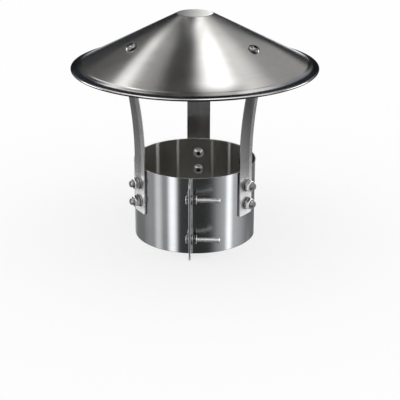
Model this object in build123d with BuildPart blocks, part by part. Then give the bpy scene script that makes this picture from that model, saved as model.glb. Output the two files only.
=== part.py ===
from build123d import *

import os
from math import asin, cos, radians, sin, sqrt

os.makedirs("parts", exist_ok=True)

# A round rain cap for a chimney flue, in millimetres and degrees.
# The origin is the centre of the clamp band's lower rim, +Z is up,
# and the clamp's ears point along -Y.

# Flue and clamp band
flue_diameter = 150.0
band_sheet = 1.0
band_height = 97.3
ear_reach = 21.5
ear_gap = 0.4
ear_bend_radius = 1.2
ear_top_corner = 5.0
ear_bottom_corner = 1.2
insertion_margin = 2.0
insertion_line_width = 1.6
insertion_line_depth = 0.55

# Hood
cap_height = 279.3
hood_diameter = 300.0
hood_sheet = 0.8
crown_radius = 22.0
crown_edge_radius = 3.0
cone_angle = 26.9
lip_width = 11.2
lip_angle = 18.6
lip_bend_radius = 4.0
hem_radius = 1.6

# Legs
front_leg_width = 25.0
rear_leg_width = 30.0
leg_sheet = 2.0
front_leg_angle = 57.0
leg_bow_radius = 440.0
leg_bow_start = 32.0
leg_bend_radius = 5.0
leg_tab_length = 25.0
leg_corner_radius = 1.8
leg_foot_margin = 15.5
leg_screw_spacing = 23.0
rim_to_leg_screw = 19.3
tab_screw_setback = 14.6

# Button-head screws that hold the legs and the hood
screw_diameter = 8.0
screw_length = 16.0
screw_head_diameter = 14.0
screw_head_height = 4.4
screw_head_flat = 3.4
screw_head_rim = 0.6
screw_dome_sagitta = 0.5
screw_socket_flats = 5.0
screw_socket_depth = 2.6
screw_hole_clearance = 0.5
screw_washer_diameter = 16.0
screw_washer_thickness = 1.6
screw_nut_flats = 13.0
screw_nut_height = 6.8

# Hexagon bolts that close the clamp
clamp_bolt_diameter = 6.0
clamp_bolt_length = 37.0
clamp_bolt_head_flats = 10.0
clamp_bolt_head_height = 4.0
clamp_bolt_standoff = 10.7
clamp_bolt_inset = 23.2
clamp_hole_clearance = 0.4
clamp_washer_diameter = 12.0
clamp_washer_thickness = 1.6
clamp_nut_flats = 10.0
clamp_nut_height = 5.2

# Fits shared by all fasteners
washer_bore_clearance = 0.2
nut_bore_clearance = 0.05
seat_clearance = 0.05
thread_chamfer = 0.8
washer_chamfer = 0.3
hexagon_chamfer = 0.7

# Worked out from the values above
band_inner = flue_diameter / 2
band_outer = band_inner + band_sheet
ear_tip = band_outer + ear_reach
ear_outside = ear_gap / 2 + band_sheet
upper_leg_screw = band_height - rim_to_leg_screw
lower_leg_screw = upper_leg_screw - leg_screw_spacing
leg_foot = lower_leg_screw - leg_foot_margin
insertion_depth = lower_leg_screw - screw_head_diameter / 2 - insertion_margin
screw_head_reach = sqrt(band_inner**2 - (screw_head_diameter / 2) ** 2) - seat_clearance
screw_hole_radius = screw_diameter / 2 + screw_hole_clearance
clamp_hole_radius = clamp_bolt_diameter / 2 + clamp_hole_clearance
leg_azimuths = {"left_leg": -front_leg_angle, "right_leg": front_leg_angle, "rear_leg": 180.0}
leg_widths = {"left_leg": front_leg_width, "right_leg": front_leg_width, "rear_leg": rear_leg_width}

# The cone's top face in a leg's plane, as a line: outwards * slope_sin + up * slope_cos
slope_sin = sin(radians(cone_angle))
slope_cos = cos(radians(cone_angle))
cone_offset = crown_radius * slope_sin + cap_height * slope_cos

# The strap's outer face bows out from the band until it meets the tab's upper face at the knee
strap_face = band_outer + leg_sheet
bow_start = upper_leg_screw + leg_bow_start


def knee_under(face_offset):
    """Where the bowed face meets a line that runs parallel to the cone at this offset."""
    reach = face_offset - slope_sin * (strap_face + leg_bow_radius) - slope_cos * bow_start
    lean = radians(cone_angle) + asin(reach / leg_bow_radius)
    return strap_face + leg_bow_radius * (1 - cos(lean)), bow_start + leg_bow_radius * sin(lean)


# A tab is flat, so its edges touch the curved sheet first and its middle lies a little lower
tab_inner_radius = knee_under(cone_offset - hood_sheet)[0] - leg_tab_length * slope_cos
widest_tab = max(leg_widths.values())
tab_drop = (widest_tab / 2) ** 2 * slope_sin / (2 * tab_inner_radius) + seat_clearance
tab_offset = cone_offset - hood_sheet - tab_drop
knee_radius, knee_height = knee_under(tab_offset)


def side_plane(azimuth):
    """Upright plane through the axis: local X points outwards at that azimuth, local Y up."""
    outwards = Vector(0, -1, 0).rotate(Axis.Z, azimuth)
    return Plane(origin=(0, 0, 0), x_dir=outwards, z_dir=outwards.cross(Vector(0, 0, 1)))


def leg_screw_seat(azimuth, height):
    """Where a leg screw's head bears inside the band; its Z runs outwards along the screw."""
    side = side_plane(azimuth)
    bearing = side.from_local_coords((screw_head_reach, height))
    return Plane(origin=bearing, x_dir=(0, 0, 1), z_dir=side.x_dir)


def hood_screw_seat(azimuth):
    """Where a hood screw's head bears on the cone; its Z runs down through sheet and tab."""
    side = side_plane(azimuth)
    above_tab = hood_sheet + tab_drop
    outwards = knee_radius - tab_screw_setback * slope_cos + above_tab * slope_sin
    up = knee_height + tab_screw_setback * slope_sin + above_tab * slope_cos
    into_hood = side.from_local_coords((-slope_sin, -slope_cos)) - side.origin
    return Plane(origin=side.from_local_coords((outwards, up)), x_dir=side.z_dir, z_dir=into_hood)


def clamp_bolt_seat(height):
    """Where a clamp bolt's head bears on the left ear; its Z runs through both ears along +X."""
    bearing = (-ear_outside, -band_outer - clamp_bolt_standoff, height)
    return Plane(origin=bearing, x_dir=(0, 0, 1), z_dir=(1, 0, 0))


leg_seats = {
    f"{leg}_{level}": leg_screw_seat(azimuth, height)
    for leg, azimuth in leg_azimuths.items()
    for level, height in (("upper", upper_leg_screw), ("lower", lower_leg_screw))
}
hood_seats = {
    leg.replace("leg", "hood"): hood_screw_seat(azimuth) for leg, azimuth in leg_azimuths.items()
}
clamp_seats = {
    "upper_clamp": clamp_bolt_seat(band_height - clamp_bolt_inset),
    "lower_clamp": clamp_bolt_seat(clamp_bolt_inset),
}


def drill(seats, radius, reach):
    """Cut a round hole through the open piece at each seat, this far to either side of it."""
    for seat in seats:
        with Locations(seat):
            Cylinder(radius, 2 * reach, mode=Mode.SUBTRACT)


def profile_plane(seat):
    """Plane through a fastener's axis: local X is the radius, local Y runs along the fastener."""
    return Plane(origin=seat.origin, x_dir=seat.x_dir, z_dir=seat.x_dir.cross(seat.z_dir))


def turn_corners_off(seat, flats, length):
    """Chamfer the open hexagon's corners at its far end, this length along the seat's axis."""
    corner = flats / sqrt(3)
    shoulder = length - hexagon_chamfer if length > 0 else length + hexagon_chamfer
    with BuildSketch(profile_plane(seat)) as blank:
        with BuildLine():
            Polyline(
                (0, 0),
                (corner, 0),
                (corner, shoulder),
                (corner - hexagon_chamfer * sqrt(3), length),
                (0, length),
                close=True,
            )
        make_face()
    revolve(blank.sketch, axis=Axis(seat.origin, seat.z_dir), mode=Mode.INTERSECT)


def write_piece(piece, name):
    """Label a finished piece and write it under its name."""
    piece.part.label = name
    export_step(piece.part, f"parts/{name}.step")


def write_button_screw(name, seat):
    """Domed screw with a hexagon socket: head behind the seat, shank in front of it."""
    with BuildPart() as screw:
        with BuildSketch(profile_plane(seat)):
            with BuildLine():
                Line((0, -screw_head_height), (screw_head_flat, -screw_head_height))
                SagittaArc(
                    (screw_head_flat, -screw_head_height),
                    (screw_head_diameter / 2, -screw_head_rim),
                    screw_dome_sagitta,
                )
                Polyline(
                    (screw_head_diameter / 2, -screw_head_rim),
                    (screw_head_diameter / 2, 0),
                    (screw_diameter / 2, 0),
                    (screw_diameter / 2, screw_length - thread_chamfer),
                    (screw_diameter / 2 - thread_chamfer, screw_length),
                    (0, screw_length),
                    (0, -screw_head_height),
                )
            make_face()
        revolve(axis=Axis(seat.origin, seat.z_dir))
        with BuildSketch(seat.offset(-screw_head_height)):
            RegularPolygon(screw_socket_flats / 2, 6, major_radius=False)
        extrude(amount=screw_socket_depth, mode=Mode.SUBTRACT)
    write_piece(screw, name)


def write_hexagon_bolt(name, seat):
    """Clamp bolt: hexagon head behind the seat, shank in front of it."""
    with BuildPart() as bolt:
        with BuildSketch(seat):
            RegularPolygon(clamp_bolt_head_flats / 2, 6, major_radius=False)
        extrude(amount=-clamp_bolt_head_height)
        turn_corners_off(seat, clamp_bolt_head_flats, -clamp_bolt_head_height)
        with BuildSketch(seat):
            Circle(clamp_bolt_diameter / 2)
        extrude(amount=clamp_bolt_length)
        tip = bolt.faces().sort_by(Axis(seat.origin, seat.z_dir))[-1]
        chamfer(tip.edges(), length=thread_chamfer)
    write_piece(bolt, name)


def write_washer(name, seat, bolt_diameter, diameter, thickness):
    """Flat washer lying on the seat, its outer edge chamfered on the nut's side."""
    with BuildPart() as washer:
        with BuildSketch(seat):
            Circle(diameter / 2)
            Circle(bolt_diameter / 2 + washer_bore_clearance, mode=Mode.SUBTRACT)
        extrude(amount=thickness)
        nut_side = washer.faces().sort_by(Axis(seat.origin, seat.z_dir))[-1]
        chamfer(nut_side.outer_wire().edges(), length=washer_chamfer)
    write_piece(washer, name)


def write_nut(name, seat, bolt_diameter, flats, height):
    """Hexagon nut standing on the seat, its corners chamfered on both faces."""
    with BuildPart() as nut:
        with BuildSketch(seat):
            RegularPolygon(flats / 2, 6, major_radius=False)
        extrude(amount=height)
        turn_corners_off(seat, flats, height)
        turn_corners_off(seat.offset(height), flats, -height)
        drill([seat], bolt_diameter / 2 + nut_bore_clearance, 2 * height)
    write_piece(nut, name)


# Hood: crown disc, cone, crease, flatter lip and a rolled hem round the brim
crease_radius = hood_diameter / 2 - lip_width
crease_height = cap_height - (crease_radius - crown_radius) * slope_sin / slope_cos
lip_sin = sin(radians(lip_angle))
lip_cos = cos(radians(lip_angle))
hem_centre = hood_diameter / 2 - hem_radius
lip_length = (hem_centre - crease_radius + hem_radius * lip_sin) / lip_cos
lip_end = (crease_radius + lip_length * lip_cos, crease_height - lip_length * lip_sin)
hem_height = lip_end[1] - hem_radius * lip_cos

with BuildPart() as hood:
    with BuildSketch(Plane.XZ) as hood_profile:
        with BuildLine() as hood_outline:
            Polyline(
                (0, cap_height),
                (crown_radius, cap_height),
                (crease_radius, crease_height),
                lip_end,
            )
            bends = hood_outline.vertices().sort_by(Axis.X)
            fillet(bends[1], radius=crown_edge_radius)
            bends = hood_outline.vertices().sort_by(Axis.X)
            fillet(bends[-2], radius=lip_bend_radius)
            offset(amount=hood_sheet, side=Side.RIGHT)
        make_face()
        with Locations((hem_centre, hem_height)):
            Circle(hem_radius)
    revolve(axis=Axis.Z)
    drill(hood_seats.values(), screw_hole_radius, 3 * hood_sheet)
write_piece(hood, "hood")

# Clamp band: one strip round the flue, its two ends bent outwards into ears
with BuildPart() as clamp_band:
    with BuildSketch() as band_profile:
        Circle(band_outer)
        with Locations((0, -band_inner)):
            Rectangle(2 * ear_outside, 2 * (ear_tip - band_inner))
        Circle(band_inner, mode=Mode.SUBTRACT)
        with Locations((0, -band_inner)):
            Rectangle(ear_gap, 4 * ear_reach, mode=Mode.SUBTRACT)
        bends = band_profile.vertices().group_by(Axis.Y)
        fillet(bends[1], radius=ear_bend_radius)
        bends = band_profile.vertices().group_by(Axis.Y)
        fillet(bends[-1], radius=ear_bend_radius + band_sheet)
    extrude(amount=band_height)
    ear_corners = clamp_band.edges().filter_by(Axis.X).group_by(Axis.Y)[0]
    fillet(ear_corners.group_by(Axis.Z)[-1], radius=ear_top_corner)
    ear_corners = clamp_band.edges().filter_by(Axis.X).group_by(Axis.Y)[0]
    fillet(ear_corners.group_by(Axis.Z)[0], radius=ear_bottom_corner)
    with BuildSketch(Plane.XY.offset(insertion_depth)) as insertion_line:
        Circle(band_inner + insertion_line_depth)
    extrude(amount=insertion_line_width, mode=Mode.SUBTRACT)
    drill(leg_seats.values(), screw_hole_radius, 3 * band_sheet)
    drill(clamp_seats.values(), clamp_hole_radius, 3 * ear_outside)
write_piece(clamp_band, "clamp_band")

# Legs: straps that stand flat on the band, bow outwards and turn in under the cone
for leg_name, azimuth in leg_azimuths.items():
    side = side_plane(azimuth)
    with BuildPart() as leg:
        with BuildSketch(side) as strap:
            with BuildLine() as strap_path:
                Line((strap_face, leg_foot), (strap_face, bow_start))
                TangentArc((strap_face, bow_start), (knee_radius, knee_height), tangent=(0, 1))
                Line(
                    (knee_radius, knee_height),
                    (knee_radius - leg_tab_length * slope_cos, knee_height + leg_tab_length * slope_sin),
                )
                knee = strap_path.vertices().sort_by_distance((knee_radius, knee_height, 0))[0]
                fillet(knee, radius=leg_bend_radius + leg_sheet)
                offset(amount=leg_sheet, side=Side.LEFT)
            make_face()
        extrude(amount=leg_widths[leg_name] / 2, both=True)
        fillet(leg.edges().filter_by(Axis((0, 0, 0), side.x_dir)), radius=leg_corner_radius)
        screw_seats = [seat for name, seat in leg_seats.items() if name.startswith(leg_name)]
        screw_seats.append(hood_seats[leg_name.replace("leg", "hood")])
        drill(screw_seats, screw_hole_radius, 4 * leg_sheet)
    write_piece(leg, leg_name)

# Leg and hood fastenings: a screw, and a washer and a nut where it comes out of the strap
leg_grip = strap_face - screw_head_reach
hood_grip = hood_sheet + tab_drop + leg_sheet
fastenings = [(name, seat, leg_grip) for name, seat in leg_seats.items()]
fastenings += [(name, seat, hood_grip) for name, seat in hood_seats.items()]
for name, seat, grip in fastenings:
    washer_seat = seat.offset(grip)
    nut_seat = washer_seat.offset(screw_washer_thickness)
    write_button_screw(f"{name}_screw", seat)
    write_washer(
        f"{name}_washer", washer_seat, screw_diameter, screw_washer_diameter, screw_washer_thickness
    )
    write_nut(f"{name}_nut", nut_seat, screw_diameter, screw_nut_flats, screw_nut_height)

# Clamp fastenings: a bolt through both ears, and its washer and nut on the right
for name, seat in clamp_seats.items():
    washer_seat = seat.offset(2 * ear_outside)
    nut_seat = washer_seat.offset(clamp_washer_thickness)
    write_hexagon_bolt(f"{name}_bolt", seat)
    write_washer(
        f"{name}_washer", washer_seat, clamp_bolt_diameter, clamp_washer_diameter, clamp_washer_thickness
    )
    write_nut(f"{name}_nut", nut_seat, clamp_bolt_diameter, clamp_nut_flats, clamp_nut_height)

print(f"insertion depth {insertion_depth:.2f}, tab drop {tab_drop:.2f}, knee at {knee_radius:.2f}")
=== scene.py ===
"""Looks of a round chimney rain cap: polished steel sheet, satin straps and bright fasteners."""

import bmesh
import bpy
import numpy as np
from mathutils import Matrix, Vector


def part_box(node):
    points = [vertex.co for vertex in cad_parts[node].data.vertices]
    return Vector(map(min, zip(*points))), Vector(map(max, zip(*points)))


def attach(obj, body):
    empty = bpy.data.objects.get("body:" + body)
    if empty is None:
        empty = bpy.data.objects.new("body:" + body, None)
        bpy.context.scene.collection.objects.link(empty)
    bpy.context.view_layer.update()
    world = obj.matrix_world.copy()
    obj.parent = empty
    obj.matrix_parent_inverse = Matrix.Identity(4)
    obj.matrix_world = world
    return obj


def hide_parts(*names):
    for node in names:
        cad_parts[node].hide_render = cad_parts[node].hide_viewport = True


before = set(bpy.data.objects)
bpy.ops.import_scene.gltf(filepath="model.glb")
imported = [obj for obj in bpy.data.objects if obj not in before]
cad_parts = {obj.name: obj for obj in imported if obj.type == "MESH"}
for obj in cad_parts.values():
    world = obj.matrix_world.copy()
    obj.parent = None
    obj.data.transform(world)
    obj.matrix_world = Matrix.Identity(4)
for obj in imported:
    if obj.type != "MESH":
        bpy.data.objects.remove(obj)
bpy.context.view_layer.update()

MM = 0.001
FULL_TURN = 2 * np.pi
DEGREES_PER_RADIAN = np.degrees(1)
UP = np.array([0.0, 0.0, 1.0])
BLACK = (0.0, 0.0, 0.0, 1.0)
WHITE = (1.0, 1.0, 1.0, 1.0)

# Camera, as worked out from the photographed rims
CAMERA_DISTANCE = 1.3076
CAMERA_HEIGHT = 0.5561
CAMERA_SIDEWAYS = 0.009
CAMERA_FOCAL = 99.716
CAMERA_PITCH = np.radians(21.535)
CAMERA_TURN = np.radians(3.3)
CAMERA_YAW = 0.0019
CAMERA_ROLL = 0.0025
CAMERA_CLIP_END = 200

# Hood, in millimetres like every size of the cap
HOOD_SHEET = 0.8
CONE_ANGLE = np.radians(26.9)
CROWN_RADIUS = 22.0
CROWN_EDGE_RADIUS = 3.0
STEP_WIDTH = 1.2
STEP_ANGLE = np.radians(35)
STEP_RADIUS = 1.5
LIP_WIDTH = 11.2
LIP_ROOT = 4.2
LIP_ROOT_ANGLE = np.radians(24)
LIP_EDGE_ANGLE = np.radians(12.4)
LIP_RADIUS = 22.0
HEM_RADIUS = 1.6
HEM_TURN = np.radians(300)
HOOD_SEGMENTS = 288
HOOD_LONGEST_RUN = 6.0

# Band and its two ears
BAND_SHEET = 1.0
BAND_STEPS = 150
EAR_GAP = 0.4
EAR_BEND_RADIUS = 1.7
EAR_TOP_CORNER = 5.0
EAR_BOTTOM_CORNER = 1.2
EAR_TIP_ZONE = 8.0
SHEET_EDGE = 0.2

# Straps
STRAP_SHEET = 2.0
STRAP_EDGE = 0.35
STRAP_CROWN = 0.4
STRAP_CORNER = 1.8
STRAP_TIP_ZONE = 5.0
STRAP_BOW_RADIUS = 440.0
STRAP_BOW_START = 110.0
STRAP_KNEE = np.array([97.43, 239.31])
STRAP_BEND_RADIUS = 7.0
STRAP_BEND_ZONE = 16.0
STRAP_TAB = 25.0
STRAP_LONGEST_RUN = 4.0
LEG_WIDTHS = {"left_leg": 25.0, "right_leg": 25.0, "rear_leg": 30.0}

# Fasteners
SCREW_DIAMETER = 8.0
SCREW_LENGTH = 16.0
SCREW_PITCH = 1.25
SCREW_BARE = 0.8
SCREW_HEAD_DIAMETER = 14.0
SCREW_HEAD_HEIGHT = 4.4
SCREW_HEAD_FLAT = 3.0
SCREW_HEAD_RIM = 1.4
SCREW_RIM_STEP = 0.2
SCREW_HEAD_EASE = 0.15
SCREW_DOME = 0.45
SCREW_SOCKET_FLATS = 5.0
SCREW_SOCKET_DEPTH = 2.6
SCREW_SOCKET_DIP = 0.5
SCREW_SOCKET_CHAMFER = 0.25
SCREW_NUT_FLATS = 13.0
SCREW_NUT_HEIGHT = 6.8
CLAMP_DIAMETER = 6.0
CLAMP_LENGTH = 37.0
CLAMP_PITCH = 1.0
CLAMP_BARE = 0.6
CLAMP_HEAD_FLATS = 10.0
CLAMP_HEAD_HEIGHT = 4.0
CLAMP_NUT_FLATS = 10.0
CLAMP_NUT_HEIGHT = 5.2
WASHER = 1.6
WASHER_DIAMETERS = {SCREW_DIAMETER: 16.0, CLAMP_DIAMETER: 12.0}
WASHER_BORE_CLEARANCE = 0.2
NUT_BORE_CLEARANCE = 0.05
SMALL_CHAMFER = 0.3
WORN_HIGHLIT_MARGIN = 0.25
FASTENER_SEGMENTS = 48
WASHER_SEGMENTS = 64

# Shares: the circle that cuts a hexagon's corners, of its flats; a thread's depth and tip, of its pitch
CORNER_CIRCLE = 0.88
THREAD_DEPTH = 0.55
THREAD_TIP = 0.6
THREAD_ROWS_PER_TURN = 8

# What lies between a head and its washer: the curved band and a strap, the cone and a tab, the ears
LEG_GRIP = 3.38
HOOD_GRIP = 3.53
CLAMP_GRIP = EAR_GAP + 2 * BAND_SHEET

# Finish: brushing lines to a metre, their depth in metres, the grey of worn edges with a painted
# highlight and of recesses with painted shade, and the angle past which an edge is drawn sharp
LINES_PER_METRE = 2600.0
LINE_DEPTH = 0.00003
WORN_HIGHLIGHT_GREY = 0.85
RECESS_SHADE_GREY = 0.1
SHARP_ANGLE = np.radians(28)

# Upright marks that the rolls left inside the band, painted pale as highlights: azimuth from the
# back, half width, strength
ROLL_MARK_HIGHLIGHTS = ((-44, 3.4, 1.0), (-21, 2.4, 0.8), (14, 2.2, 0.5), (33, 2.8, 0.8))

# Floor and tent, in metres
FLOOR_RADIUS = 40.0
FLOOR_SEGMENTS = 96
FLOOR_WHITENESS = 0.65
TENT_RADIUS = 30.0

# Upright softboxes: azimuth, half of full width, half of whole width in degrees, strength
UPRIGHT_LIGHTS = {
    "left key": (-42, 2, 13.5, 1.35),
    "left second": (-73, 1, 13, 0.52),
    "left fill": (-70, 16, 48, 0.3),
    "right key": (68.5, 1, 11, 1.1),
    "right fill": (72, 6, 52, 0.55),
    "left side": (-140, 30, 60, 0.17),
    "right side": (140, 25, 60, 0.14),
    "back key": (168, 1, 12, 0.9),
    "back fill": (-172, 6, 30, 0.3),
}
# Long ceiling softboxes: sideways slope x / z, half of full width, half of whole width, strength
CEILING_LIGHTS = {
    "right key": (0.14, 0.04, 0.18, 1.4),
    "right fill": (0.29, 0.06, 0.31, 0.65),
    "right side": (0.85, 0.25, 0.95, 0.33),
    "left key": (-0.515, 0.02, 0.1, 1.0),
    "left fill": (-0.36, 0.05, 0.18, 0.33),
    "left side": (-0.85, 0.1, 0.35, 0.07),
}
# Soft cards, the same on both sides: degrees aside and degrees up, each as its middle, half of
# whole width and half of full width, then strength
CARDS = {
    "sides": ((106, 19, 11), (6, 15, 9), 4.5),
    "high front": ((0, 115, 85), (64, 20, 12), 1.2),
    "front fill": ((0, 100, 80), (22, 18, 10), 0.26),
}
# Brightness of the ground between the softboxes, and of the part of it behind the cap
DARK = 0.058
DARK_BACK = 0.036


def node_box(node):
    """A CAD node's lowest and highest corners in millimetres."""
    low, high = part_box(node)
    return np.array(low) / MM, np.array(high) / MM


def make_camera():
    """Stand the camera where the photographed rims say it stood, turned with the object."""
    camera = bpy.data.objects.new("camera", bpy.data.cameras.new("camera"))
    camera.data.lens = CAMERA_FOCAL
    camera.data.clip_end = CAMERA_CLIP_END
    place = Matrix.Translation((CAMERA_SIDEWAYS, -CAMERA_DISTANCE, CAMERA_HEIGHT))
    tilt = Matrix.Rotation(np.pi / 2 - CAMERA_PITCH, 4, "X")
    heading = Matrix.Rotation(CAMERA_YAW, 4, "Z")
    roll = Matrix.Rotation(CAMERA_ROLL, 4, "Z")
    camera.matrix_world = Matrix.Rotation(CAMERA_TURN, 4, "Z") @ place @ heading @ tilt @ roll
    bpy.context.scene.collection.objects.link(camera)
    bpy.context.scene.camera = camera


make_camera()


class Value:
    """A number in a shader: a formula written on values adds its Math nodes."""

    def __init__(self, shader, socket):
        self.shader = shader
        self.socket = socket

    def __add__(self, other):
        return self.shader.math("ADD", self, other)

    def __sub__(self, other):
        return self.shader.math("SUBTRACT", self, other)

    def __rsub__(self, other):
        return self.shader.math("SUBTRACT", other, self)

    def __mul__(self, other):
        return self.shader.math("MULTIPLY", self, other)

    def __truediv__(self, other):
        return self.shader.math("DIVIDE", self, other)

    def __abs__(self):
        return self.shader.math("ABSOLUTE", self)

    __radd__ = __add__
    __rmul__ = __mul__


class Shader:
    """A material's node tree, with one method that adds any node."""

    def __init__(self, name):
        self.material = bpy.data.materials.new(name)
        self.material.use_nodes = True
        self.tree = self.material.node_tree
        self.tree.nodes.clear()

    def add(self, kind, settings, sockets, output=0):
        """Add a node of this kind, set it up, then fill or link its sockets; gives one output."""
        node = self.tree.nodes.new(kind)
        for setting, value in settings.items():
            setattr(node, setting, value)
        for socket, value in sockets.items():
            if isinstance(value, Value):
                self.tree.links.new(value.socket, node.inputs[socket])
            else:
                node.inputs[socket].default_value = value
        return Value(self, node.outputs[output]) if len(node.outputs) else None

    def math(self, operation, *values):
        return self.add("ShaderNodeMath", {"operation": operation}, dict(enumerate(values)))

    def coordinates(self, output):
        return self.add("ShaderNodeTexCoord", {}, {}, output)

    def parts(self, vector):
        """The X, Y and Z of a vector, as three values."""
        first = self.add("ShaderNodeSeparateXYZ", {}, {0: vector})
        return [Value(self, socket) for socket in first.socket.node.outputs]

    def vector(self, x, y, z):
        return self.add("ShaderNodeCombineXYZ", {}, {0: x, 1: y, 2: z})

    def from_axis(self, x, y):
        """How far a place is from the upright axis: the square root of x squared + y squared."""
        return self.math("SQRT", x * x + y * y)

    def noise(self, vector, scale, detail, roughness=0.5):
        """Noise from 0 to 1 with its middle at one half."""
        sockets = {"Vector": vector, "Scale": scale, "Detail": detail, "Roughness": roughness}
        return self.add("ShaderNodeTexNoise", {}, sockets)

    def fade(self, value, none_at, full_at):
        """A smooth step that is 0 at one value and 1 at the other."""
        sockets = {"Value": value, "From Min": none_at, "From Max": full_at}
        return self.add("ShaderNodeMapRange", {"interpolation_type": "SMOOTHSTEP"}, sockets)

    def spot(self, value, middle, none_from, full_within):
        """1 up to full_within to either side of the middle value, fading to 0 at none_from."""
        return self.fade(abs(value - middle), none_from, full_within)

    def mix(self, factor, first, second):
        """A colour between two colours."""
        sockets = {0: factor, 6: first, 7: second}
        return self.add("ShaderNodeMix", {"data_type": "RGBA"}, sockets, 2)

    def finish(self, surface):
        self.add("ShaderNodeOutputMaterial", {}, {"Surface": surface})
        return self.material


def grey(level):
    return (level, level, level, 1.0)


def steel(name, bright, shade, roughness, grain, extra=None):
    """Steel whose grain is a function giving the vector its fine brushing lines follow.

    Its colour lies between two colours, and its roughness and bump follow the same lines. The
    attribute of wear and painted light is 1 on cut and worn edges, which are matt and pale: wear
    with a painted highlight. It is -1 in recesses, which are dark with painted shade. Extra changes
    the colour and roughness and gives how metallic it is."""
    shader = Shader(name)
    place = shader.coordinates("Object")
    lines = shader.noise(grain(shader, place), 1.0, 4.0, 0.6)
    clouds = shader.noise(place, 22.0, 2.0)
    mottle = lines * 0.55 + clouds * 0.45
    colour = shader.mix(shader.fade(mottle, 0.3, 0.7), (*shade, 1), (*bright, 1))
    rough = roughness + (lines - 0.5) * 0.06 + (clouds - 0.5) * 0.05
    metal = 1.0
    if extra:
        colour, rough, metal = extra(shader, place, colour, rough)
    wear_and_painted_light = shader.add("ShaderNodeAttribute", {"attribute_name": "wear_and_painted_light"}, {}, 2)
    # Pale worn edges carry a painted highlight; dark recesses are painted shade.
    worn_and_highlit, recess_shade = shader.fade(wear_and_painted_light, 0.1, 0.9), shader.fade(wear_and_painted_light, -0.1, -0.9)
    colour = shader.mix(worn_and_highlit, colour, grey(WORN_HIGHLIGHT_GREY))
    colour = shader.mix(recess_shade, colour, grey(RECESS_SHADE_GREY))
    bump = {"Strength": 0.12, "Distance": LINE_DEPTH, "Height": lines}
    sockets = {"Base Color": colour, "Roughness": rough + worn_and_highlit * 0.35, "Metallic": metal - worn_and_highlit * 0.4}
    sockets["Normal"] = shader.add("ShaderNodeBump", {}, bump)
    return shader.finish(shader.add("ShaderNodeBsdfPrincipled", {}, sockets))


def rings_by_radius(shader, place):
    """Lines that run round the upright axis, each at its own radius."""
    x, y, _ = shader.parts(place)
    radius = shader.from_axis(x, y)
    return shader.vector(x / radius * 3.0, y / radius * 3.0, radius * LINES_PER_METRE)


def rings_by_height(shader, place):
    """Lines that run round the upright axis, each at its own height."""
    x, y, z = shader.parts(place)
    return shader.vector(x * 30.0, y * 30.0, z * LINES_PER_METRE)


def lines_along_strap(shader, place):
    """Lines that run along a strap: its UV map holds metres along and metres across."""
    along, across, _ = shader.parts(shader.coordinates("UV"))
    return shader.vector(along * 25.0, across * LINES_PER_METRE, 0.0)


def turned_marks(shader, place):
    """Fine marks all ways, as on a small turned or pressed piece."""
    x, y, z = shader.parts(place)
    return shader.vector(x * 900.0, y * 900.0, z * 900.0)


def hood_finish(shader, place, colour, rough):
    """A darker, bluer lip, a painted dark reflection, but for a pale inner part in front. Painted
    shade, black, at the lip's front right and round its back, and nearly black on the hem below and
    behind. Under the crown, painted shade darker on the left beside a painted highlight streak.
    Rougher towards the crown's edge, but not on its disc.

    In metres from the axis, the crown ends at 0.022, the lip starts at 0.139, the hem at 0.147."""
    x, y, z = shader.parts(place)
    radius = shader.from_axis(x, y)
    # Painted reflection: the lip is darker and bluer, but for its pale inner part in front.
    lip = shader.fade(radius, 0.139, 0.14) * shader.fade(radius, 0.1478, 0.1468)
    bright_front = shader.fade(radius, 0.146, 0.145) * shader.fade(y, -0.085, -0.12)
    colour = shader.mix(lip * (1 - bright_front), colour, (0.37, 0.4, 0.47, 1))

    # Painted shade, black, at the lip's front right and round its back; nearly black on the hem below
    # and behind.
    front_right = shader.fade(y, -0.08, -0.1) * shader.spot(x, 0.03, 0.042, 0.02)
    painted_lip_shade = shader.fade(radius, 0.124, 0.142) * front_right * 0.7
    painted_lip_shade = painted_lip_shade + shader.fade(radius, 0.1355, 0.137) * shader.fade(y, -0.05, -0.01) * 0.93
    hem = shader.fade(radius, 0.1472, 0.1478)
    shaded_below_or_behind = shader.fade(z, 0.216, 0.2151) + shader.fade(y, -0.06, -0.02)
    colour = shader.mix(painted_lip_shade * (1 - hem), colour, BLACK)
    colour = shader.mix(hem * shaded_below_or_behind, colour, (0.03, 0.03, 0.035, 1))

    # Under the crown, painted shade, darker on the left, beside a painted highlight streak.
    cone = shader.fade(radius, 0.0215, 0.0225)
    painted_shade_near_crown = 0.15 + shader.fade(x, -0.005, -0.014) * 0.5
    painted_shade_near_crown = painted_shade_near_crown * cone * shader.fade(radius, 0.075, 0.03)
    painted_highlight_streak = cone * shader.spot(x, 0.001, 0.012, 0.0) * 0.75
    painted_highlight_streak = painted_highlight_streak * shader.fade(radius, 0.023, 0.036) * shader.fade(radius, 0.07, 0.036)
    colour = shader.mix(painted_highlight_streak, shader.mix(painted_shade_near_crown, colour, BLACK), (0.95, 0.95, 0.94, 1))
    near_crown = shader.fade(radius, 0.08, 0.03) * 0.11
    disc = shader.fade(radius, 0.0225, 0.021) * 0.12
    return colour, rough + (near_crown - disc), 1.0


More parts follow.
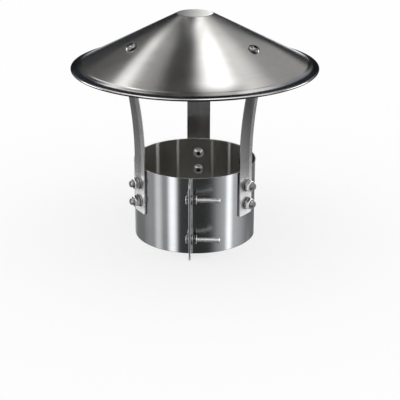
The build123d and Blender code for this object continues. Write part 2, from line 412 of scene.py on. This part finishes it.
def band_finish(shader, place, colour, rough):
    """Inside, browner and rougher, darker at the far left and right with painted shade, and with dull
    roll marks painted pale as highlights. Outside, behind the clamp bolts, a little scuffed and
    rougher, and darker with painted shade."""
    x, y, _ = shader.parts(place)
    inside = shader.fade(shader.from_axis(x, y), 0.0756, 0.0753)
    azimuth = shader.math("ARCTAN2", x, y) * DEGREES_PER_RADIAN
    # Roll marks, dull and painted pale: partly marks of the rolls, partly painted highlight lines.
    marks = 0.0
    for centre, half_width, strength in ROLL_MARK_HIGHLIGHTS:
        marks = marks + shader.spot(azimuth, centre, half_width, 0.0) * strength
    inner = shader.mix(marks, (0.6, 0.59, 0.55, 1), (1.0, 1.0, 0.98, 1))
    # Painted shade: darker at the far left and right inside.
    inner = shader.mix(shader.spot(abs(azimuth), 85, 25, 10), inner, (0.2, 0.2, 0.19, 1))
    # Behind the clamp bolts: rougher where scuffed, and darker with painted shade.
    scuff_and_painted_shade = shader.spot(x, 0.0135, 0.018, 0.006) * shader.fade(y, -0.04, -0.05) * (1 - inside)
    colour = shader.mix(scuff_and_painted_shade * 0.4, colour, BLACK)
    rough = rough + inside * (marks * 0.3 + 0.18) + scuff_and_painted_shade * 0.14
    return shader.mix(inside, colour, inner), rough, 1 - inside * marks * 0.6


def strap_finish(shader, place, colour, rough):
    """Dull at the foot and pale there with a painted highlight; painted shade towards the hood and on
    the right one; a painted highlight along one side: a front strap's edge, or the right half of the
    rear strap."""
    x, y, z = shader.parts(place)
    _, across, _ = shader.parts(shader.coordinates("UV"))
    rear = shader.fade(y, 0.0, 0.02)
    foot = shader.fade(z, 0.115, 0.045)
    # Painted highlight along one side.
    side = shader.fade(across, 0.005, 0.0075) * (1 - rear) + shader.fade(x, 0.0, 0.002) * rear * 0.5
    side = side * (1 - foot)
    # Painted shade, darker towards the hood and on the right strap; then the painted highlight at the
    # foot and side.
    painted_shade_up_and_right = shader.fade(z, 0.09, 0.2) * 0.55 * (1 - rear) + shader.fade(x, 0.03, 0.05) * 0.25
    colour = shader.mix(painted_shade_up_and_right * (1 - foot), colour, grey(0.1))
    colour = shader.mix(foot + side * 0.5, colour, grey(0.95))
    return colour, rough + foot * 0.4 + side * 0.14, 1.0 - foot * 0.25


def screw_finish(shader, place, colour, rough):
    """Heads inside the band are pale and less metallic: painted light. Those on the hood are dark:
    painted shade. The clamp bolts are pale."""
    x, y, z = shader.parts(place)
    painted_lit_inside = shader.fade(shader.from_axis(x, y), 0.0755, 0.0745)
    painted_shade_on_hood, clamping = shader.fade(z, 0.19, 0.2), shader.fade(y, -0.0765, -0.078)
    colour = shader.mix(painted_shade_on_hood, colour, grey(0.22))
    colour = shader.mix(clamping, colour, grey(0.85))
    colour = shader.mix(painted_lit_inside, colour, (0.9, 0.9, 0.89, 1))
    return colour, rough - painted_lit_inside * 0.06, 0.95 - painted_lit_inside * 0.45


hood_steel = steel(
    "hood_steel", (0.70, 0.69, 0.67), (0.60, 0.59, 0.57), 0.15, rings_by_radius, hood_finish
)
band_steel = steel(
    "band_steel", (0.645, 0.66, 0.675), (0.565, 0.58, 0.595), 0.12, rings_by_height, band_finish
)
strap_steel = steel(
    "strap_steel", (0.72, 0.72, 0.72), (0.63, 0.63, 0.63), 0.14, lines_along_strap, strap_finish
)
screw_steel = steel(
    "screw_steel", (0.6, 0.6, 0.59), (0.42, 0.42, 0.41), 0.2, turned_marks, screw_finish
)
# The washers' steel is made dark: painted shade.
washer_steel = steel("washer_steel", (0.36, 0.36, 0.35), (0.25, 0.25, 0.25), 0.16, turned_marks)
nut_steel = steel("nut_steel", (0.66, 0.66, 0.65), (0.45, 0.45, 0.44), 0.08, turned_marks)


def add_piece(name, points, wrap_rows, material, wear_and_painted_light, marks=None, caps=()):
    """A mesh from a grid of points (rows, columns, XYZ in millimetres); columns always close.

    A corner at row i, column j belongs to the quads between rows i and i + 1 and columns j and
    j + 1, each counted on round the grid. Equal points are merged, so a row that shrinks to a
    point becomes a pole. Marks give each point its UV; its wear and painted light give the pale of
    worn edges with a painted highlight, or the dark of recesses with painted shade. Caps are rows
    closed by one flat face."""
    rows, columns = points.shape[:2]
    quad_rows = np.arange(rows if wrap_rows else rows - 1)
    i, j = np.meshgrid(quad_rows, np.arange(columns), indexing="ij")
    here, on = i * columns, (i + 1) % rows * columns
    next_j = (j + 1) % columns
    faces = np.stack([here + j, here + next_j, on + next_j, on + j], -1).reshape(-1, 4).tolist()
    for row in caps:
        ring = np.arange(columns) + row % rows * columns
        faces.append((ring[::-1] if row == 0 else ring).tolist())
    mesh = bpy.data.meshes.new(name)
    mesh.from_pydata((points.reshape(-1, 3) * MM).tolist(), [], faces)
    if marks is not None:
        corner = np.zeros(len(mesh.loops), np.int32)
        mesh.loops.foreach_get("vertex_index", corner)
        uv = mesh.uv_layers.new(name="UVMap")
        uv.data.foreach_set("uv", (marks.reshape(-1, 2)[corner] * MM).astype(np.float32).ravel())
    worn_and_highlit = mesh.attributes.new("wear_and_painted_light", "FLOAT", "POINT")
    wear_and_painted_light = np.broadcast_to(wear_and_painted_light, points.shape[:2])
    worn_and_highlit.data.foreach_set("value", wear_and_painted_light.astype(np.float32).ravel())
    work = bmesh.new()
    work.from_mesh(mesh)
    bmesh.ops.remove_doubles(work, verts=work.verts, dist=1e-7)
    bmesh.ops.recalc_face_normals(work, faces=work.faces)
    work.to_mesh(mesh)
    work.free()
    mesh.shade_smooth()
    mesh.set_sharp_from_angle(angle=SHARP_ANGLE)
    mesh.materials.append(material)
    piece = bpy.data.objects.new(name, mesh)
    bpy.context.scene.collection.objects.link(piece)
    return piece


def stand_for(piece, node, body):
    """The piece takes a CAD node's place and moves with its body."""
    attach(piece, body)
    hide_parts(node)


def unit(vectors):
    return vectors / np.linalg.norm(vectors, axis=-1, keepdims=True)


def distance_along(path):
    """How far along a path each of its points lies."""
    return np.concatenate([[0], np.cumsum(np.linalg.norm(np.diff(path, axis=0), axis=1))])


def arc(centre, radius, start, end, steps):
    """Points on a circle in a plane: centre + radius * (cos, sin) of evenly spaced angles."""
    angle = np.linspace(start, end, steps)
    return np.array(centre) + radius * np.stack([np.cos(angle), np.sin(angle)], -1)


def rounded_path(corners, radii, steps=10):
    """Straight runs between corners, with a tangent arc of the given radius at each inner corner.

    The arc's centre lies on the corner's bisector, radius / sin(half the corner's angle) away."""
    corners = np.array(corners, float)
    path = [corners[:1]]
    for before, corner, after, radius in zip(corners, corners[1:], corners[2:], radii):
        back, ahead = unit(before - corner), unit(after - corner)
        half = np.arccos(np.clip(back @ ahead, -1, 1)) / 2
        centre = corner + unit(back + ahead) * radius / np.sin(half)
        reach = radius / np.tan(half)
        start, end = corner + back * reach - centre, corner + ahead * reach - centre
        sweep = np.pi - 2 * half
        share = np.linspace(0, 1, steps)[:, None]
        bend = np.sin((1 - share) * sweep) * start + np.sin(share * sweep) * end
        path.append(centre + bend / np.sin(sweep))
    path.append(corners[-1:])
    return np.concatenate(path)


def divided(path, longest):
    """The same path with points added evenly along runs that are longer than this."""
    lengths = np.linalg.norm(np.diff(path, axis=0), axis=1)
    steps = np.maximum(np.ceil(lengths / longest), 1).astype(int)
    at = np.concatenate([np.arange(n) / n + k for k, n in enumerate(steps)] + [[len(path) - 1]])
    whole = np.minimum(at.astype(int), len(path) - 2)
    share = (at - whole)[:, None]
    return path[whole] * (1 - share) + path[whole + 1] * share


def beside(path, distance):
    """The path moved sideways by a distance to its right: each point goes along the mean of its
    two runs' normals, further at a corner so that the runs stay that far apart."""
    runs = unit(np.diff(path, axis=0))
    normals = np.stack([runs[:, 1], -runs[:, 0]], -1)
    before, after = np.vstack([normals[:1], normals]), np.vstack([normals, normals[-1:]])
    middle = unit(before + after)
    return path + middle * distance / np.sum(middle * before, -1, keepdims=True)


def turned(profile, segments):
    """A profile of (radius, height) spun round +Z: x = r sin, y = -r cos of the azimuth."""
    azimuth = np.arange(segments) / segments * FULL_TURN
    radius, height = profile[:, :1], profile[:, 1:]
    x, y = radius * np.sin(azimuth), -radius * np.cos(azimuth)
    return np.stack([x, y, np.broadcast_to(height, x.shape)], -1)


def falling(width, slope):
    """The step outwards by a width and down by the width times the tangent of the slope."""
    return width * np.array([1, -np.tan(slope)])


def make_hood():
    """The cone's profile with its crown disc, pressed step, lip and rolled hem, spun round the axis.

    Each run falls by its width times the tangent of its slope: the cone, a narrow steeper step,
    then a lip that flattens outwards. The hem turns 300 degrees round its centre, and the inner
    face lies one sheet below the outer one."""
    low, high = node_box("hood")
    top, rim = high[2], high[0]
    crown_edge = np.array([CROWN_RADIUS, top])
    crease = crown_edge + falling(rim - LIP_WIDTH - CROWN_RADIUS, CONE_ANGLE)
    step_top = crease - falling(STEP_WIDTH, CONE_ANGLE)
    step_foot = step_top + falling(STEP_WIDTH, STEP_ANGLE)
    lip_bend = step_foot + falling(LIP_ROOT, LIP_ROOT_ANGLE)
    hem_centre = np.array([rim - HEM_RADIUS, low[2] + HEM_RADIUS])
    hem_start = np.pi / 2 - LIP_EDGE_ANGLE
    hem = arc(hem_centre, HEM_RADIUS, hem_start, hem_start - HEM_TURN, 26)
    corners = [(0, top), crown_edge, step_top, step_foot, lip_bend, hem[0]]
    outer = rounded_path(corners, [CROWN_EDGE_RADIUS, STEP_RADIUS, STEP_RADIUS, LIP_RADIUS])
    inner = beside(outer, HOOD_SHEET)[::-1]
    profile = divided(np.vstack([outer[:-1], hem, inner[1:]]), HOOD_LONGEST_RUN)
    profile[:, 0] = np.maximum(profile[:, 0], 0)
    hood = add_piece("hood", turned(profile, HOOD_SEGMENTS), False, hood_steel, 0.0)
    stand_for(hood, "hood", "cap")


def strip(
    name, path, across, low, high, thickness, edge, material, crown=0.0, sides=1.0, inner_end=1.0
):
    """A bent strip of sheet: a rounded rectangle carried along a path of 3-D points.

    Its section reaches from low to high along the across direction and half its thickness to
    either side, and bows by crown * (1 - share^2), where share is the distance from the middle
    over the half width. Within one edge radius of either end the section draws in by
    edge - sqrt(edge^2 - (edge - distance)^2), so that the ends are rounded too. Ends are pale:
    worn, with a painted highlight. Sides and inner_end set the sides and an end's inner half:
    pale like the ends when positive, dark with painted shade when negative."""
    run = distance_along(path)
    tangent = unit(np.gradient(path, run, axis=0))
    normal = unit(np.cross(across, tangent))
    draw = corner_cut(np.minimum(run, run[-1] - run), edge)
    # Half of the section: a quarter circle, a face, a quarter circle and a side; then its mirror
    quarter, side = np.linspace(0, np.pi / 2, 4), [0.5, -0.5]
    face = np.r_[0.985, np.linspace(0.9, -0.9, 9), -0.985]
    one, flat = np.ones(4), np.ones(len(face))
    angle = np.r_[quarter, flat * np.pi / 2, quarter + np.pi / 2, [np.pi] * 2]
    side_a = np.r_[one, face, -one, -1, -1]
    side_b = np.r_[one, flat, one, side]
    angle = np.r_[angle, angle + np.pi]
    side_a, side_b = np.r_[side_a, -side_a], np.r_[side_b, -side_b]
    middle, half = (low + high) / 2, (high - low) / 2
    round_edge = (edge - draw)[:, None]
    along_a = middle[:, None] + (half[:, None] - edge) * side_a + round_edge * np.cos(angle)
    along_b = (thickness / 2 - edge) * side_b + round_edge * np.sin(angle) - crown * side_a**2
    points = path[:, None] + across * along_a[..., None] + normal[:, None] * along_b[..., None]
    marks = np.stack([np.broadcast_to(run[:, None], along_a.shape), along_a + along_b], -1)
    at_end = draw[:, None] / edge
    end_wear_and_light = np.where(np.sin(angle) < -0.01, inner_end, 1)
    wear_and_painted_light = np.abs(np.cos(angle)) * (1 - at_end) * sides + at_end * end_wear_and_light
    return add_piece(name, points, False, material, wear_and_painted_light, marks, caps=(0, len(path) - 1))


def end_steps(edge, steps=4):
    """Distances from an end at which a rounded end is drawn: edge * (1 - cos), then on."""
    return edge * (1 - np.cos(np.linspace(0, np.pi / 2, steps)))


def tip_steps(edge, corner):
    """Distances from an end at which its rounded edge and then its round corner are drawn."""
    return np.concatenate([end_steps(edge), edge + end_steps(corner, 9)[1:]])


def corner_cut(distance, radius):
    """How far a round corner of this radius is cut back at a distance from the end."""
    return radius - np.sqrt(np.maximum(radius**2 - np.maximum(radius - distance, 0) ** 2, 0))


def make_band():
    """One strip round the flue, its middle line a circle whose ends bend out into two ears.

    Each bend's centre is one bend radius outside the ear's middle line and touches the circle,
    so it stands circle + bend from the axis. The right half mirrors the left."""
    low, high = node_box("clamp_band")
    circle, tip = high[0] - BAND_SHEET / 2, low[1]
    ear_x = -(EAR_GAP + BAND_SHEET) / 2
    bend_x = ear_x - EAR_BEND_RADIUS
    bend_y = -np.sqrt((circle + EAR_BEND_RADIUS) ** 2 - bend_x**2)
    tip_points = tip + tip_steps(SHEET_EDGE, EAR_TOP_CORNER)
    ear_y = np.concatenate([tip_points, np.linspace(tip + EAR_TIP_ZONE, bend_y, 5)])
    ear = np.stack([np.full_like(ear_y, ear_x), ear_y], -1)
    meets = np.arctan2(-bend_y, -bend_x)
    bend = arc((bend_x, bend_y), EAR_BEND_RADIUS, 0, meets, 9)[1:]
    round_back = arc((0, 0), circle, meets - np.pi, -3 * np.pi / 2, BAND_STEPS)[1:]
    left = np.vstack([ear, bend, round_back])
    path = np.vstack([left, left[-2::-1] * (-1, 1)])
    path = np.column_stack([path, np.zeros(len(path))])
    from_tip = path[:, 1] - tip
    bottom = low[2] + corner_cut(from_tip, EAR_BOTTOM_CORNER)
    top = high[2] - corner_cut(from_tip, EAR_TOP_CORNER)
    # The ears' facing tips are dark: painted shade in the gap between them.
    band = strip(
        "clamp_band", path, UP, bottom, top, BAND_SHEET, SHEET_EDGE, band_steel, inner_end=-1
    )
    stand_for(band, "clamp_band", "cap")


def make_leg(node):
    """A strap carried along its middle line in the leg's own upright plane.

    It stands straight on the band, bows outwards on a large arc and turns in under the cone,
    where its tab lies parallel to the cone."""
    foot = node_box(node)[0][2]
    face = node_box("clamp_band")[1][0] + STRAP_SHEET
    outwards = fastener_seat(f"{node}_upper")[1]
    lean = np.arccos(1 - (STRAP_KNEE[0] - face) / STRAP_BOW_RADIUS)
    bow_centre = (face + STRAP_BOW_RADIUS, STRAP_BOW_START)
    bow = arc(bow_centre, STRAP_BOW_RADIUS, np.pi, np.pi - lean, 60)
    bow = bow[np.linalg.norm(bow - STRAP_KNEE, axis=1) > STRAP_BEND_ZONE]
    tab_end = STRAP_KNEE + STRAP_TAB * np.array([-np.cos(CONE_ANGLE), np.sin(CONE_ANGLE)])
    turn_in = rounded_path([bow[-1], STRAP_KNEE, tab_end], [STRAP_BEND_RADIUS], 14)
    outer_face = np.vstack([[(face, foot)], [(face, STRAP_BOW_START)], bow[1:], turn_in[1:]])
    middle = beside(divided(outer_face, STRAP_LONGEST_RUN), -STRAP_SHEET / 2)
    run = distance_along(middle)
    length, ends = run[-1], tip_steps(STRAP_EDGE, STRAP_CORNER)
    between = run[(run > STRAP_TIP_ZONE) & (run < length - STRAP_TIP_ZONE)]
    at = np.unique(np.concatenate([ends, between, length - ends]))
    out, height = np.interp(at, run, middle[:, 0]), np.interp(at, run, middle[:, 1])
    path = out[:, None] * outwards + height[:, None] * UP
    half = LEG_WIDTHS[node] / 2 - corner_cut(np.minimum(at, at[-1] - at), STRAP_CORNER)
    across = np.cross(UP, outwards)
    # The strap's sides are dark: painted shade beside the band.
    leg = strip(
        node, path, across, -half, half, STRAP_SHEET, STRAP_EDGE, strap_steel, STRAP_CROWN, -0.5
    )
    stand_for(leg, node, "cap")


def placed(local, origin, forwards):
    """Points of a piece drawn along +Z, stood on an origin so that +Z runs along forwards."""
    side = unit(np.cross(forwards, UP))
    other = np.cross(forwards, side)
    return origin + local[..., :1] * side + local[..., 1:2] * other + local[..., 2:] * forwards


def lathe(name, grid, origin, forwards, material, wrap_rows=False):
    """Rings whose radius, height, and wear with painted light may change with the angle: x = r cos, y =
    r sin.
    """
    angle = np.arange(grid.shape[1]) / grid.shape[1] * FULL_TURN
    radius, height, wear_and_painted_light = grid[..., 0], grid[..., 1], grid[..., 2]
    local = np.stack([radius * np.cos(angle), radius * np.sin(angle), height], -1)
    return add_piece(name, placed(local, origin, forwards), wrap_rows, material, wear_and_painted_light)


def rings(rows, segments=FASTENER_SEGMENTS):
    """Rows of (radius, height, wear and painted light), numbers or arrays over the angle, as one grid.
    """
    return np.stack([np.stack([np.broadcast_to(v, segments) for v in row], -1) for row in rows])


def hexagon(flats):
    """Radius of a hexagon at each angle: half its flats / cos(angle from the nearest flat)."""
    angle = np.arange(FASTENER_SEGMENTS) / FASTENER_SEGMENTS * FULL_TURN
    return flats / 2 / np.cos((angle + np.pi / 6) % (np.pi / 3) - np.pi / 6)


def thread_rows(diameter, pitch, start, end):
    """A helical ridge: the depth is a triangle wave of height / pitch - angle / full turn.

    The ridge fades in over one pitch at either end."""
    rows = int((end - start) / pitch * THREAD_ROWS_PER_TURN)
    height = np.linspace(start, end, rows)[:, None]
    turn = np.arange(FASTENER_SEGMENTS) / FASTENER_SEGMENTS
    wave = np.abs((height / pitch - turn) % 1 * 2 - 1)
    fade = np.clip(np.minimum(height - start, end - height) / pitch, 0, 1)
    radius = diameter / 2 - THREAD_DEPTH * pitch * np.clip(wave * 1.3 - 0.15, 0, 1) * fade
    return np.stack([radius, np.broadcast_to(height, radius.shape), np.zeros_like(radius)], -1)


def shank(diameter, pitch, length, bare):
    """Shank rows from under the head to a chamfered tip: bare, threaded, then the tip's pole."""
    radius, chamfer = diameter / 2, THREAD_TIP * pitch
    start = rings([(radius, 0, 0), (radius, bare, 0)])
    thread = thread_rows(diameter, pitch, bare, length - chamfer)
    tip = rings([(radius - chamfer, length, 0), (0, length, 0)])
    return np.vstack([start, thread, tip])


def fastener_seat(station):
    """The middle of a station's washer and the way its screw points: outwards through a strap,
    down through the cone, or to the right through the ears."""
    low, high = node_box(f"{station}_washer")
    middle = (low + high) / 2
    outwards = unit(middle * (1, 1, 0))
    if "clamp" in station:
        return middle, np.array([1.0, 0.0, 0.0])
    if "hood" in station:
        return middle, -np.sin(CONE_ANGLE) * outwards - np.cos(CONE_ANGLE) * UP
    return middle, outwards


def make_button_screw(station, grip):
    """Domed head with a hexagon socket, drawn from the socket's floor out to the shank's tip.

    The dome is an arc through the flat's edge and the rim with the given rise over its chord."""
    middle, forwards = fastener_seat(station)
    origin = middle - forwards * (WASHER / 2 + grip)
    radius, top, rim = SCREW_HEAD_DIAMETER / 2, -SCREW_HEAD_HEIGHT, -SCREW_HEAD_RIM
    socket, floor = hexagon(SCREW_SOCKET_FLATS), top + SCREW_SOCKET_DEPTH
    flat_edge = np.array([SCREW_HEAD_FLAT, top])
    chord = np.array([radius, rim]) - flat_edge
    share = np.linspace(0, 1, 9)[:, None]
    rise = unit(np.array([chord[1], -chord[0]])) * SCREW_DOME
    dome = flat_edge + chord * share + rise * 4 * share * (1 - share)
    # Negative values darken the socket and the rim under the head: painted shade.
    rows = [(0, floor + SCREW_SOCKET_DIP, -1), (socket * 0.98, floor, -1)]
    rows += [(socket, top + SCREW_SOCKET_CHAMFER, -1), (socket + SCREW_SOCKET_CHAMFER, top, -0.3)]
    rows += [(out, height, 0) for out, height in dome]
    rows += [(radius, rim + SCREW_RIM_STEP, -0.6), (radius, -SCREW_HEAD_EASE, -0.8)]
    rows += [(radius - SCREW_HEAD_EASE, 0, -0.8)]
    shank_rows = shank(SCREW_DIAMETER, SCREW_PITCH, SCREW_LENGTH, SCREW_BARE)
    grid = np.vstack([rings(rows), shank_rows])
    screw = lathe(f"{station}_screw", grid, origin, forwards, screw_steel)
    stand_for(screw, f"{station}_screw", "cap")


def hexagon_rows(flats, height, bore, bearing):
    """A hexagon block's rings from its lower bore edge round its sides to its upper bore edge.

    A 30 degree cone cuts its corners: a side ends (radius - cone's radius at the face) / sqrt 3
    below the face. Its edges are pale within a narrow margin: worn, with a painted highlight.
    Bearing sets the first edge: pale when positive, dark with painted shade when negative."""
    side, margin = hexagon(flats), WORN_HIGHLIT_MARGIN
    circle = CORNER_CIRCLE * flats / 2
    cut = np.maximum(side - circle, 0) / np.sqrt(3)
    corner = np.where(side > 0.99 * side.max(), 0.5, 0.0)
    lower = [(bore + SMALL_CHAMFER, 0, 0), (circle - margin, 0, 0), (circle, 0, bearing)]
    lower += [(side, cut, bearing)]
    middle = [(side, cut + margin, corner), (side, height - cut - margin, corner)]
    upper = [(side, height - cut, 1), (circle, height, 0.6), (circle - margin, height, 0)]
    return lower + middle + upper + [(bore + SMALL_CHAMFER, height, 0)]


def make_hexagon_bolt(station):
    """Clamp bolt: hexagon head behind the seat, threaded shank in front of it."""
    middle, forwards = fastener_seat(station)
    origin = middle - forwards * (WASHER / 2 + CLAMP_GRIP)
    block = hexagon_rows(CLAMP_HEAD_FLATS, CLAMP_HEAD_HEIGHT, bore=0, bearing=1)
    rows = [(0, -CLAMP_HEAD_HEIGHT, 0)]
    rows += [(radius, height - CLAMP_HEAD_HEIGHT, wear_and_painted_light) for radius, height, wear_and_painted_light in block[1:-1]]
    shank_rows = shank(CLAMP_DIAMETER, CLAMP_PITCH, CLAMP_LENGTH, CLAMP_BARE)
    grid = np.vstack([rings(rows), shank_rows])
    bolt = lathe(f"{station}_bolt", grid, origin, forwards, screw_steel)
    stand_for(bolt, f"{station}_bolt", "cap")


def make_washer(station, bolt_diameter, body):
    """Flat ring with its outer edge eased on both faces."""
    middle, forwards = fastener_seat(station)
    outer = WASHER_DIAMETERS[bolt_diameter] / 2
    bore = bolt_diameter / 2 + WASHER_BORE_CLEARANCE
    ease, half = SMALL_CHAMFER, WASHER / 2
    # The lower outer edge and the bore are dark with painted shade, the upper outer edge pale with a
    # painted highlight.
    rows = [(bore, -half, 0), (outer - ease / 2, -half, -1), (outer, -half + ease / 2, -1)]
    rows += [(outer, 0, 0), (outer, half - ease, 0.5), (outer - ease, half, 0.5)]
    rows += [(outer - 2 * ease, half, 0), (bore + ease / 2, half, 0), (bore, half - ease / 2, -1)]
    grid = rings(rows, WASHER_SEGMENTS)
    washer = lathe(f"{station}_washer", grid, middle, forwards, washer_steel, wrap_rows=True)
    stand_for(washer, f"{station}_washer", body)


def make_nut(station, bolt_diameter, flats, height, bearing, body):
    """Hexagon nut with cut corners and an eased bore."""
    middle, forwards = fastener_seat(station)
    origin = middle + forwards * WASHER / 2
    bore = bolt_diameter / 2 + NUT_BORE_CLEARANCE
    rows = [(bore, SMALL_CHAMFER, -1)] + hexagon_rows(flats, height, bore, bearing)
    rows += [(bore, height - SMALL_CHAMFER, -1)]
    nut = lathe(f"{station}_nut", rings(rows), origin, forwards, nut_steel, wrap_rows=True)
    stand_for(nut, f"{station}_nut", body)


def make_fasteners():
    """Every screw, washer and nut of the legs and the hood, and the two clamp bolts.

    The nuts of the legs and the hood are dark where they bear, a painted shade; those of the clamp are
    pale there, worn with a painted highlight."""
    grips = {"leg_upper": LEG_GRIP, "leg_lower": LEG_GRIP, "hood": HOOD_GRIP}
    for side in ("left", "right", "rear"):
        for place, grip in grips.items():
            station = f"{side}_{place}"
            make_button_screw(station, grip)
            make_washer(station, SCREW_DIAMETER, "cap")
            make_nut(station, SCREW_DIAMETER, SCREW_NUT_FLATS, SCREW_NUT_HEIGHT, -1, "cap")
    for level in ("upper", "lower"):
        station, nut = f"{level}_clamp", f"{level}_nut"
        make_hexagon_bolt(station)
        make_washer(station, CLAMP_DIAMETER, f"{level}_washer")
        make_nut(station, CLAMP_DIAMETER, CLAMP_NUT_FLATS, CLAMP_NUT_HEIGHT, 1, nut)


make_hood()
make_band()
for leg in LEG_WIDTHS:
    make_leg(leg)
make_fasteners()


def floor_finish():
    """Pale matt floor with the faintest unevenness, two thirds of the way to white for the camera."""
    shader = Shader("pale_floor")
    clouds = shader.noise(shader.coordinates("Object"), 1.5, 2.0)
    matt = {"Color": shader.mix(clouds, grey(0.97), grey(0.98))}
    matt = shader.add("ShaderNodeBsdfDiffuse", {}, matt)
    white = shader.add("ShaderNodeEmission", {}, {"Color": WHITE, "Strength": 1.0})
    seen = shader.add("ShaderNodeLightPath", {}, {})
    mixed = {0: seen * FLOOR_WHITENESS, 1: matt, 2: white}
    return shader.finish(shader.add("ShaderNodeMixShader", {}, mixed))


def stage_mesh(name, points, faces, material):
    """A mesh linked to the scene on its own, not attached to the cap."""
    mesh = bpy.data.meshes.new(name)
    mesh.from_pydata(points, [], faces)
    mesh.materials.append(material)
    thing = bpy.data.objects.new(name, mesh)
    bpy.context.scene.collection.objects.link(thing)
    return thing


def make_floor():
    """A wide level floor that the object stands on, left out of the metal's reflections.

    The disc inside the band is a piece of its own, which the metal does reflect."""
    inside = (node_box("clamp_band")[1][0] - BAND_SHEET / 2) * MM
    finish = floor_finish()
    i = np.arange(FLOOR_SEGMENTS)
    angle, next_i = i / FLOOR_SEGMENTS * FULL_TURN, (i + 1) % FLOOR_SEGMENTS
    circle = np.stack([np.cos(angle), np.sin(angle), np.zeros(FLOOR_SEGMENTS)], -1)
    ring = np.vstack([circle * inside, circle * FLOOR_RADIUS])
    quads = np.stack([i, i + FLOOR_SEGMENTS, next_i + FLOOR_SEGMENTS, next_i], -1)
    floor = stage_mesh("floor", ring.tolist(), quads.tolist(), finish)
    floor.visible_glossy = False
    stage_mesh("floor_inside", (circle * inside).tolist(), [i.tolist()], finish)


def tent_finish():
    """Softboxes as a function of direction from the object: upright ones low down and in front,
    long ones over the top and behind.

    Smaller cards stand right behind, high on the left, at the lip's left, low behind the right
    strap, low in front and at the places of the table above. Behind, below the long softboxes,
    the ground is a little bluer."""
    shader = Shader("softboxes")
    place = {0: shader.coordinates("Object")}
    direction = shader.add("ShaderNodeVectorMath", {"operation": "NORMALIZE"}, place)
    x, y, z = shader.parts(direction)
    azimuth = shader.math("ARCTAN2", x, 0 - y) * DEGREES_PER_RADIAN
    rise = shader.math("ARCSINE", z) * DEGREES_PER_RADIAN
    aside, slant, sideways, backwards = abs(azimuth), x / y, x / z, y / z

    def panel(value, lights, wrap):
        total = DARK
        for centre, full, whole, strength in lights.values():
            away = value - centre
            if wrap:
                away = shader.math("WRAP", away, 180, -180)
            total = total + shader.fade(abs(away), whole, full) * strength
        return total

    upright = panel(azimuth, UPRIGHT_LIGHTS, True) * (0.2 + shader.fade(rise, -42, -22) * 0.8)
    ceiling = panel(sideways, CEILING_LIGHTS, False)
    ceiling = ceiling * (0.5 + shader.fade(backwards, 0, 0.3) * 0.5)
    reach = (0.85 + sideways * sideways * 2) * (1 + shader.fade(sideways, 0.6, 1) * 0.13)
    share = backwards / reach
    over = shader.fade(share, 0.98, 0.86) * shader.fade(rise, 3, 12)
    behind = DARK_BACK + over * (ceiling - DARK_BACK)
    low = shader.fade(rise, 0, -8)
    front = shader.fade(aside, 150, 135) * shader.fade(rise, 42, 30)
    front_or_low = shader.math("MAXIMUM", front, low)
    level = behind + front_or_low * (upright - behind)

    right_behind = shader.fade(aside, 150, 160) * shader.spot(rise, 12, 10, 6)
    narrow_card = shader.fade(slant, -0.025, 0.02) * shader.fade(slant, 0.075, 0.05) * right_behind
    crown_card = shader.spot(slant, 0, 0.14, 0.06) * right_behind
    high_left = shader.fade(sideways, -0.36, -0.52) * shader.fade(sideways, -1.2, -0.85)
    high_left = high_left * shader.fade(share, 0.58, 0.46) * over
    lip_left = shader.spot(sideways, -0.42, 0.24, 0.14) * shader.spot(share, 0.8, 0.1, 0.05) * over
    strap_card = shader.spot(azimuth, 126, 10, 4) * shader.fade(rise, -22.5, -26)
    front_low = shader.fade(aside, 25, 15) * shader.fade(rise, -22, -6) * low
    level = level + narrow_card * 1.3 + crown_card * 0.14 + high_left * 0.9
    level = level + lip_left * 0.7 + strap_card * 0.4 + front_low * 0.05
    for across, upwards, strength in CARDS.values():
        level = level + shader.spot(aside, *across) * shader.spot(rise, *upwards) * strength

    bluer = (1 - over) * (1 - front_or_low) * (1 - crown_card)
    colour = shader.mix(bluer, WHITE, (0.88, 0.94, 1.06, 1))
    lamp = shader.add("ShaderNodeEmission", {}, {"Color": colour, "Strength": level})
    return shader.finish(lamp)


def make_tent():
    """A great sphere round the stage that only reflections see: softboxes on a dark ground."""
    work = bmesh.new()
    bmesh.ops.create_icosphere(work, subdivisions=5, radius=TENT_RADIUS)
    bmesh.ops.reverse_faces(work, faces=work.faces)
    mesh = bpy.data.meshes.new("tent")
    work.to_mesh(mesh)
    work.free()
    material = tent_finish()
    material.cycles.emission_sampling = "NONE"
    mesh.materials.append(material)
    tent = bpy.data.objects.new("tent", mesh)
    tent.rotation_euler[2] = CAMERA_TURN
    bpy.context.scene.collection.objects.link(tent)
    tent.visible_camera = False
    tent.visible_diffuse = False
    tent.visible_shadow = False
    tent.visible_transmission = False


def make_world():
    """An even white sky for the floor; the metal sees the softboxes instead."""
    world = bpy.data.worlds.new("sky")
    world.use_nodes = True
    sky = world.node_tree.nodes["Background"]
    sky.inputs["Color"].default_value = WHITE
    sky.inputs["Strength"].default_value = 1.0
    world.cycles_visibility.glossy = False
    bpy.context.scene.world = world


make_floor()
make_tent()
make_world()
bpy.context.scene.view_settings.view_transform = "Standard"
